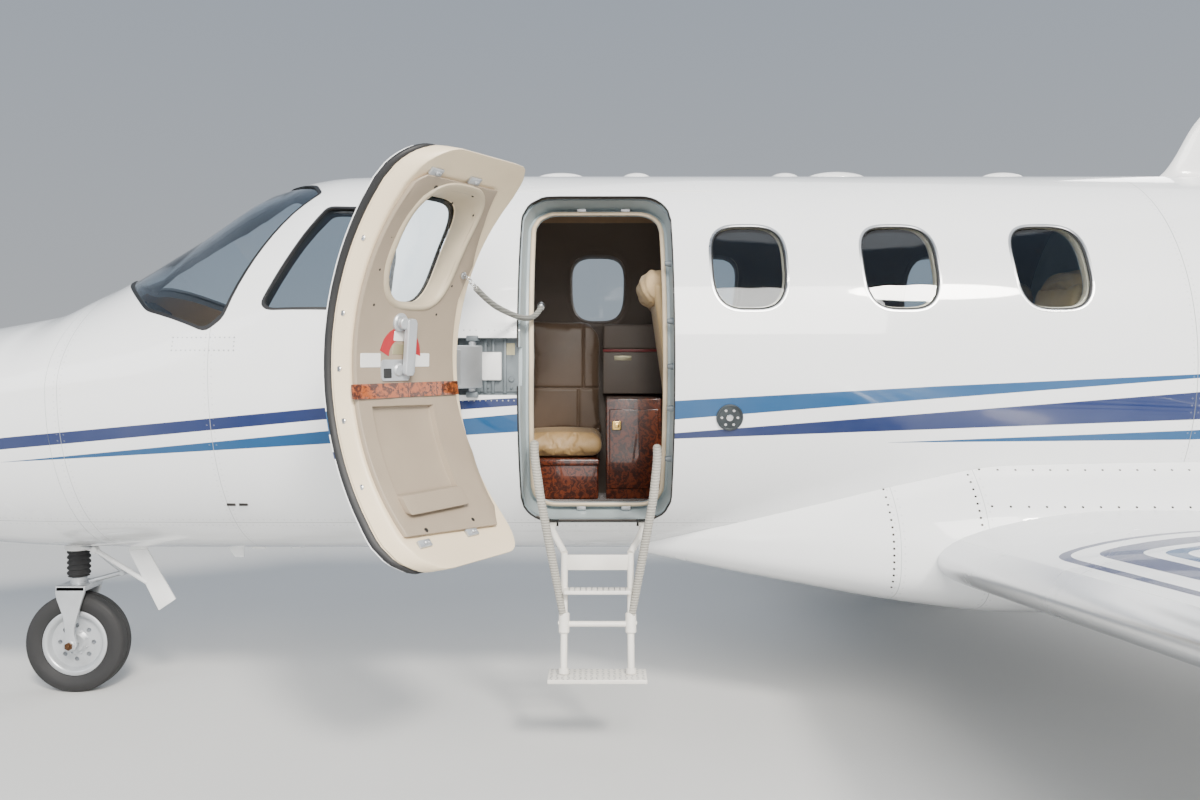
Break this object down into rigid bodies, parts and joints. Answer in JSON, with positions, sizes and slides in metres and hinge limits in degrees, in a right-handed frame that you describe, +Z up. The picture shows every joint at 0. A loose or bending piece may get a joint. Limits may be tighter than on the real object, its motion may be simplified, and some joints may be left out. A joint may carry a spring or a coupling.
{
  "type": "light business jet with two rear fan engines",
  "caption": "Light business jet on its gear: T tail, rear nacelles, straight wings, folding steps hung below a wide open cabin door, windows down both sides, furnished cabin.",
  "frame": {"origin": "On the ground, under the middle of the bounding box, wheels at z = 0", "axes": "+X runs aft, +Y to starboard, +Z up; the nose points to -X"},
  "size_m": [12.98, 14.26, 4.1899],
  "materials": {
    "white_paint": "clear-coated gloss white with two blue bands",
    "fairing_paint": "gloss white paint on composite, riveted edges",
    "window_glass": "clear tinted cabin glass",
    "brown_leather": "soft brown leather",
    "beige_leather": "beige seat cover",
    "burl_wood": "glossy burl veneer",
    "carpet": "brown cut pile",
    "panel_plastic": "dark grained plastic",
    "gear_metal": "silver-grey painted and machined metal",
    "engine_metal": "heat-toned metal",
    "fan_metal": "satin machined blades",
    "tyre": "matte black rubber"
  },
  "bodies": {
    "airframe": {"nose_cone": "white_paint", "nose_section": "white_paint", "cockpit_shell": "white_paint", "cabin_crown": "white_paint", "cabin_side_port": "white_paint", "cabin_side_starboard": "white_paint", "cabin_belly": "white_paint", "aft_fuselage": "white_paint", "wing_fairing": "fairing_paint", "fin": "white_paint", "tailplane": "white_paint", "wing_port": "white_paint", "nacelle_port": "white_paint", "engine_port": "engine_metal", "windshield_port": "window_glass", "cockpit_window_port": "window_glass", "cabin_window_port_2": "window_glass", "cabin_window_port_3": "window_glass", "cabin_window_port_4": "window_glass", "crew_seat_port": "brown_leather", "club_seat_front_port": "beige_leather", "club_seat_rear_port": "beige_leather", "main_leg_port": "gear_metal", "wing_starboard": "white_paint", "nacelle_starboard": "white_paint", "engine_starboard": "engine_metal", "windshield_starboard": "window_glass", "cockpit_window_starboard": "window_glass", "cabin_window_starboard_1": "window_glass", "cabin_window_starboard_2": "window_glass", "cabin_window_starboard_3": "window_glass", "cabin_window_starboard_4": "window_glass", "crew_seat_starboard": "brown_leather", "club_seat_front_starboard": "beige_leather", "club_seat_rear_starboard": "beige_leather", "main_leg_starboard": "gear_metal", "nose_strut": "gear_metal", "cabin_floor": "carpet", "instrument_panel": "panel_plastic", "side_seat": "brown_leather", "cabinet": "burl_wood", "folding_steps": "gear_metal"},
    "door": {"door_panel": "white_paint", "door_window": "window_glass"},
    "nose_fork": {"nose_fork": "gear_metal"},
    "nose_wheel": {"nose_rim": "gear_metal", "nose_tyre": "tyre"},
    "rudder": {"rudder": "white_paint"},
    "elevator": {"elevator": "white_paint"},
    "main_wheel_port": {"main_rim_port": "gear_metal", "main_tyre_port": "tyre"},
    "flap_port": {"flap_port": "white_paint"},
    "aileron_port": {"aileron_port": "white_paint"},
    "fan_port": {"fan_port": "fan_metal"},
    "main_wheel_starboard": {"main_rim_starboard": "gear_metal", "main_tyre_starboard": "tyre"},
    "flap_starboard": {"flap_starboard": "white_paint"},
    "aileron_starboard": {"aileron_starboard": "white_paint"},
    "fan_starboard": {"fan_starboard": "fan_metal"}
  },
  "joints": [
    {"name": "door_hinge", "type": "hinge", "parent": "airframe", "child": "door", "pos_m": [-2.978, -0.831, 1.516], "axis": [0, 0, 1], "range_deg": [0, 121.3]},
    {"name": "nose_steering", "type": "hinge", "parent": "airframe", "child": "nose_fork", "pos_m": [-4.92, 0, 0.5], "axis": [0, 0, 1], "range_deg": [-95, 95]},
    {"name": "nose_wheel_spin", "type": "hinge", "parent": "nose_fork", "child": "nose_wheel", "pos_m": [-4.92, 0, 0.22655], "axis": [0, 1, 0], "continuous": true},
    {"name": "rudder_hinge", "type": "hinge", "parent": "airframe", "child": "rudder", "pos_m": [5.20117, 0, 2.345], "axis": [0.3558, 0, 0.9346], "range_deg": [-25, 25]},
    {"name": "elevator_hinge", "type": "hinge", "parent": "airframe", "child": "elevator", "pos_m": [6.06, 0, 4.105], "axis": [0, 1, 0], "range_deg": [-20, 15]},
    {"name": "main_wheel_spin_port", "type": "hinge", "parent": "airframe", "child": "main_wheel_port", "pos_m": [-0.22, -1.98, 0.27711], "axis": [0, 1, 0], "continuous": true},
    {"name": "fan_spin_port", "type": "hinge", "parent": "airframe", "child": "fan_port", "pos_m": [1.43, -1.275, 2.195], "axis": [1, 0, 0], "continuous": true},
    {"name": "flap_hinge_port", "type": "hinge", "parent": "airframe", "child": "flap_port", "pos_m": [0.53963, -1.01, 0.81695], "axis": [0.1369, 0.9875, -0.0775], "range_deg": [0, 35]},
    {"name": "aileron_hinge_port", "type": "hinge", "parent": "airframe", "child": "aileron_port", "pos_m": [0.11954, -4.04, 1.05486], "axis": [0.1369, 0.9875, -0.0775], "range_deg": [-20, 20]},
    {"name": "main_wheel_spin_starboard", "type": "hinge", "parent": "airframe", "child": "main_wheel_starboard", "pos_m": [-0.22, 1.98, 0.27711], "axis": [0, 1, 0], "continuous": true},
    {"name": "fan_spin_starboard", "type": "hinge", "parent": "airframe", "child": "fan_starboard", "pos_m": [1.43, 1.275, 2.195], "axis": [1, 0, 0], "continuous": true},
    {"name": "flap_hinge_starboard", "type": "hinge", "parent": "airframe", "child": "flap_starboard", "pos_m": [0.53963, 1.01, 0.81695], "axis": [-0.1369, 0.9875, 0.0775], "range_deg": [0, 35]},
    {"name": "aileron_hinge_starboard", "type": "hinge", "parent": "airframe", "child": "aileron_starboard", "pos_m": [0.11954, 4.04, 1.05486], "axis": [-0.1369, 0.9875, 0.0775], "range_deg": [-20, 20]}
  ],
  "couplings": [
    {"joint": "aileron_hinge_starboard", "follows": "aileron_hinge_port", "ratio": -1},
    {"joint": "flap_hinge_starboard", "follows": "flap_hinge_port", "ratio": 1}
  ]
}
